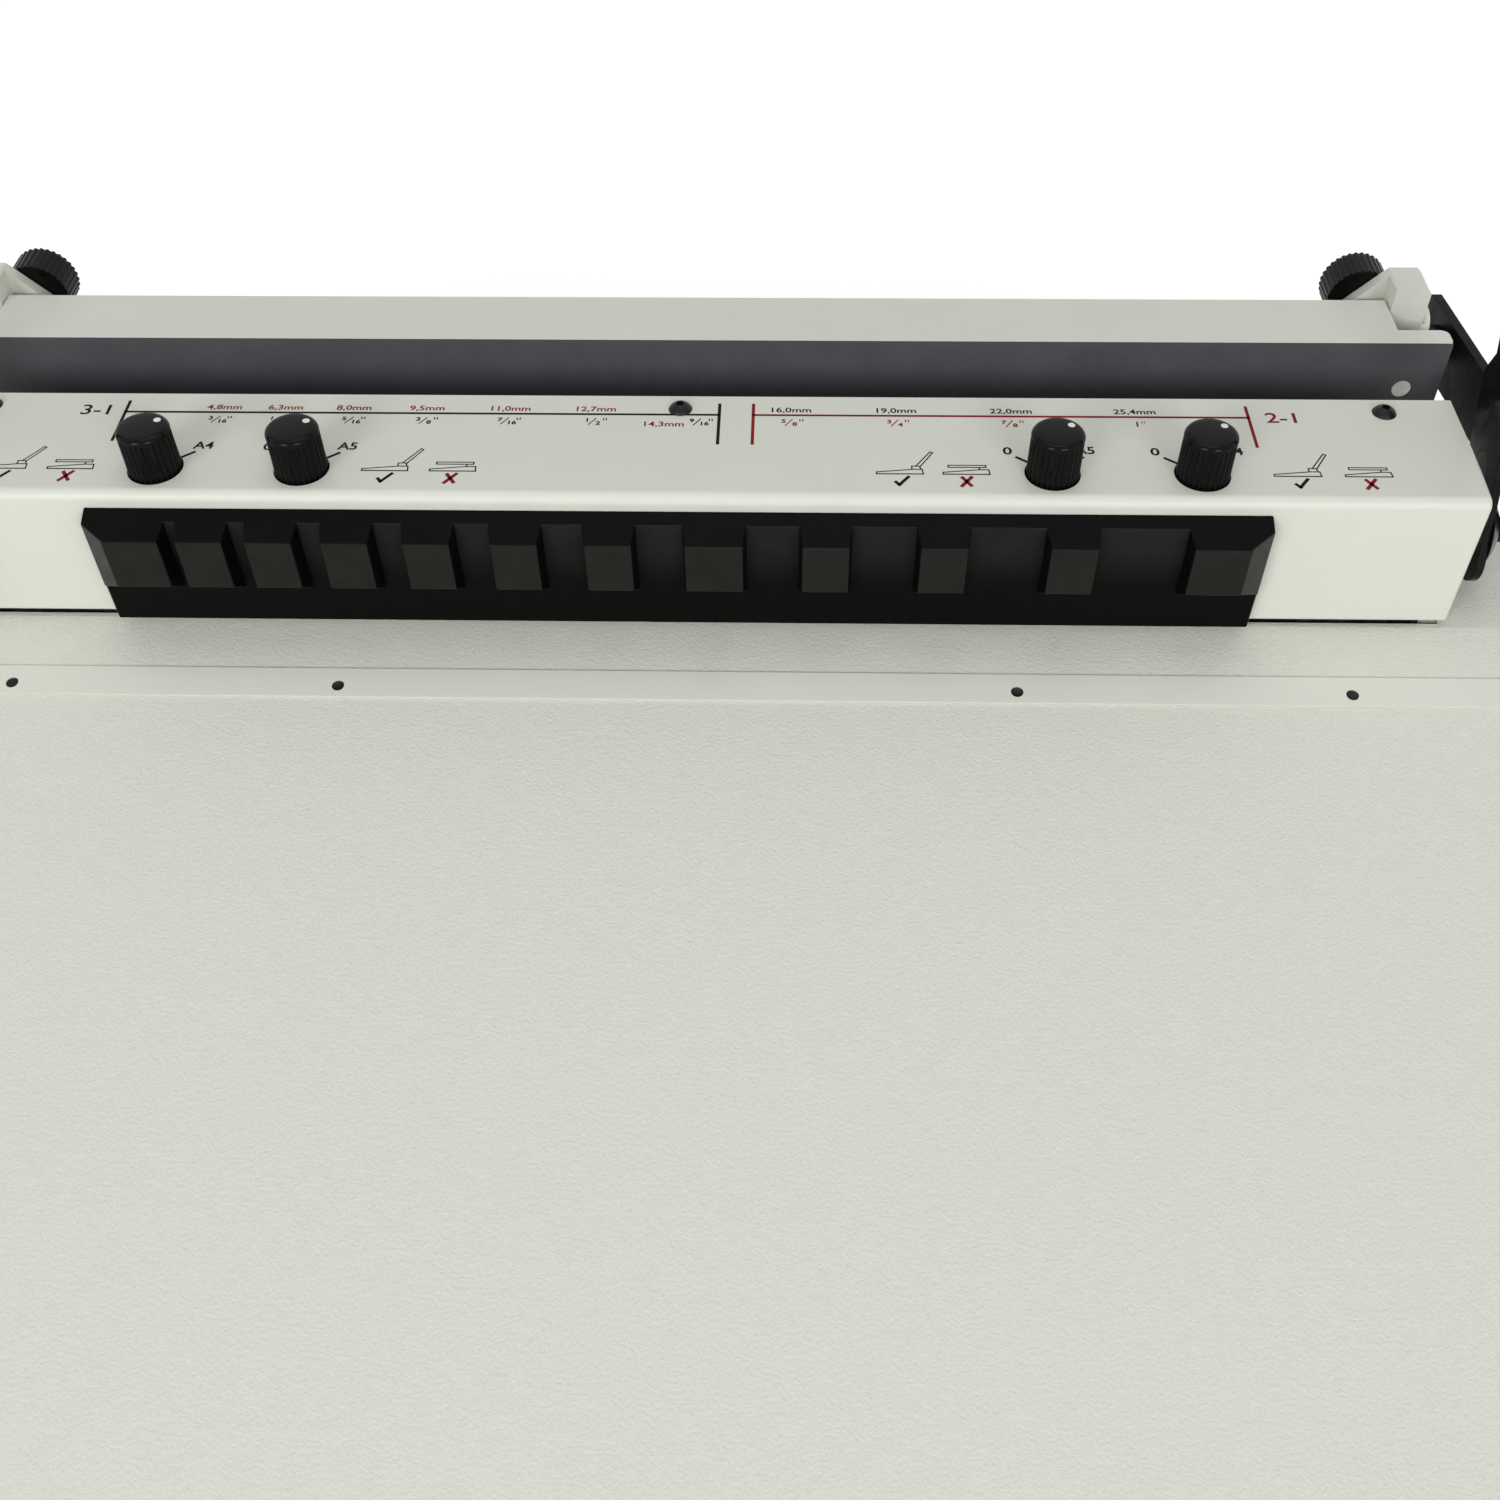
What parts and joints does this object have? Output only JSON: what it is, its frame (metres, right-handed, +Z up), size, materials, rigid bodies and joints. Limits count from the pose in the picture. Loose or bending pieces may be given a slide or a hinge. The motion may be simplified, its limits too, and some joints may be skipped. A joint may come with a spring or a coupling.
{
  "type": "wire binding punch",
  "caption": "Manual wire binding punch: sloped paper table, lever-driven hole punch in a cream housing with selector knobs and wire gauge, and an adjustable closing bar behind it.",
  "frame": {"origin": "centre of the footprint of the bounding box, on the floor under the rubber feet, with the lever up", "axes": "+X to the right as the user faces it, +Y from the user towards the closing bar, +Z up"},
  "size_m": [0.5, 0.4268, 0.3832],
  "materials": {
    "black_paint": "satin coat",
    "black_plastic": "fine satin moulding",
    "black_screw": "blackened steel",
    "bright_steel": "turned",
    "bronze": "plain bearing bronze",
    "cream_paint": "fine hammered powder coat",
    "cream_smooth": "smooth satin coat",
    "dark_steel": "blackened and ground",
    "grip_foam": "matte sleeve",
    "rubber": "matte",
    "steel": "ground"
  },
  "bodies": {
    "frame": {"base_shell": "cream_paint", "bottom_plate": "dark_steel", "rubber_feet": "rubber", "table_rail": "cream_smooth", "end_frame_left": "steel", "end_frame_right": "steel", "housing_cover": "cream_smooth", "cover_screws": "black_screw", "wire_gauge": "black_plastic", "die_plate": "steel", "die_bed": "steel", "back_stop": "dark_steel", "stripper_plate": "steel", "rear_anvil": "dark_steel", "selector_rail": "steel", "shaft_bushes": "bronze", "guide_rods": "bright_steel", "return_spring_left": "steel", "return_spring_right": "steel"},
    "lever": {"drive_shaft": "steel", "cam_left": "steel", "cam_right": "steel", "handle_arm_left": "black_paint", "handle_arm_right": "black_paint", "arm_spacers": "steel", "pivot_bolts": "black_screw", "drive_pins": "black_screw", "handle_tube": "black_paint", "tube_studs": "black_paint", "handle_grip": "grip_foam"},
    "punch": {"pressure_plate": "steel", "pin_holder": "steel", "punch_pins": "bright_steel"},
    "closer": {"bracket_left": "cream_smooth", "bracket_right": "cream_smooth", "link_left": "black_paint", "link_right": "black_paint", "link_spacers": "black_paint", "link_bolts": "black_screw"},
    "jaw": {"closing_bar": "cream_smooth", "jaw_plate": "dark_steel", "bar_dowels": "bright_steel"},
    "wheel_left": {"thumbwheel_left": "black_plastic", "adjust_screw_left": "steel"},
    "wheel_right": {"thumbwheel_right": "black_plastic", "adjust_screw_right": "steel"},
    "tray": {"chip_tray": "black_paint"},
    "stop": {"side_stop": "black_plastic"},
    "selector_a4_left": {"knob_a4_left": "black_plastic", "spindle_a4_left": "steel"},
    "pin_key_a4_left": {"key_a4_left": "bronze"},
    "selector_a5_left": {"knob_a5_left": "black_plastic", "spindle_a5_left": "steel"},
    "pin_key_a5_left": {"key_a5_left": "bronze"},
    "selector_a5_right": {"knob_a5_right": "black_plastic", "spindle_a5_right": "steel"},
    "pin_key_a5_right": {"key_a5_right": "bronze"},
    "selector_a4_right": {"knob_a4_right": "black_plastic", "spindle_a4_right": "steel"},
    "pin_key_a4_right": {"key_a4_right": "bronze"}
  },
  "joints": [
    {"name": "lever_hinge", "type": "hinge", "parent": "frame", "child": "lever", "pos_m": [0, 0.09761, 0.09341], "axis": [1, 0, 0], "range_deg": [0, 105]},
    {"name": "punch_slide", "type": "slide", "parent": "frame", "child": "punch", "axis": [0, 0.1828, -0.9832], "range_m": [0, 0.00851], "deforming": ["return_spring_left", "return_spring_right"]},
    {"name": "closer_slide", "type": "slide", "parent": "frame", "child": "closer", "axis": [0, -1, 0], "range_m": [0, 0.02396]},
    {"name": "thumbwheel_left_turn", "type": "hinge", "parent": "closer", "child": "wheel_left", "pos_m": [-0.2063, 0.18061, 0.11471], "axis": [0, 1, 0], "range_deg": [-720.1, 720.1]},
    {"name": "thumbwheel_right_turn", "type": "hinge", "parent": "closer", "child": "wheel_right", "pos_m": [0.2063, 0.18061, 0.11471], "axis": [0, 1, 0], "range_deg": [-720.1, 720.1]},
    {"name": "bar_adjust", "type": "slide", "parent": "closer", "child": "jaw", "axis": [0, -1, 0], "range_m": [-0.003, 0.003]},
    {"name": "chip_tray_slide", "type": "slide", "parent": "frame", "child": "tray", "axis": [0, 1, 0], "range_m": [0, 0.062]},
    {"name": "side_stop_slide", "type": "slide", "parent": "frame", "child": "stop", "axis": [1, 0, 0], "range_m": [0, 0.105]},
    {"name": "knob_a4_left_turn", "type": "hinge", "parent": "frame", "child": "selector_a4_left", "pos_m": [-0.1425, 0.08801, 0.1189], "axis": [0, 0, 1], "range_deg": [0, 105]},
    {"name": "key_a4_left_slide", "type": "slide", "parent": "punch", "child": "pin_key_a4_left", "axis": [1, 0, 0], "range_m": [0, 0.00413]},
    {"name": "knob_a5_left_turn", "type": "hinge", "parent": "frame", "child": "selector_a5_left", "pos_m": [-0.1022, 0.08801, 0.1189], "axis": [0, 0, 1], "range_deg": [0, 105]},
    {"name": "key_a5_left_slide", "type": "slide", "parent": "punch", "child": "pin_key_a5_left", "axis": [1, 0, 0], "range_m": [0, 0.00413]},
    {"name": "knob_a5_right_turn", "type": "hinge", "parent": "frame", "child": "selector_a5_right", "pos_m": [0.1022, 0.08801, 0.1189], "axis": [0, 0, 1], "range_deg": [0, 105]},
    {"name": "key_a5_right_slide", "type": "slide", "parent": "punch", "child": "pin_key_a5_right", "axis": [1, 0, 0], "range_m": [0, 0.00413]},
    {"name": "knob_a4_right_turn", "type": "hinge", "parent": "frame", "child": "selector_a4_right", "pos_m": [0.1425, 0.08801, 0.1189], "axis": [0, 0, 1], "range_deg": [0, 105]},
    {"name": "key_a4_right_slide", "type": "slide", "parent": "punch", "child": "pin_key_a4_right", "axis": [1, 0, 0], "range_m": [0, 0.00413]}
  ],
  "couplings": [
    {"joint": "punch_slide", "follows": "lever_hinge", "m_per_rad": 0.0046382},
    {"joint": "closer_slide", "follows": "lever_hinge", "m_per_rad": 0.013069},
    {"joint": "thumbwheel_left_turn", "follows": "bar_adjust", "rad_per_m": 4188.8},
    {"joint": "thumbwheel_right_turn", "follows": "bar_adjust", "rad_per_m": 4188.8},
    {"joint": "key_a4_left_slide", "follows": "knob_a4_left_turn", "m_per_rad": 0.0022511},
    {"joint": "key_a5_left_slide", "follows": "knob_a5_left_turn", "m_per_rad": 0.0022511},
    {"joint": "key_a5_right_slide", "follows": "knob_a5_right_turn", "m_per_rad": 0.0022511},
    {"joint": "key_a4_right_slide", "follows": "knob_a4_right_turn", "m_per_rad": 0.0022511}
  ]
}
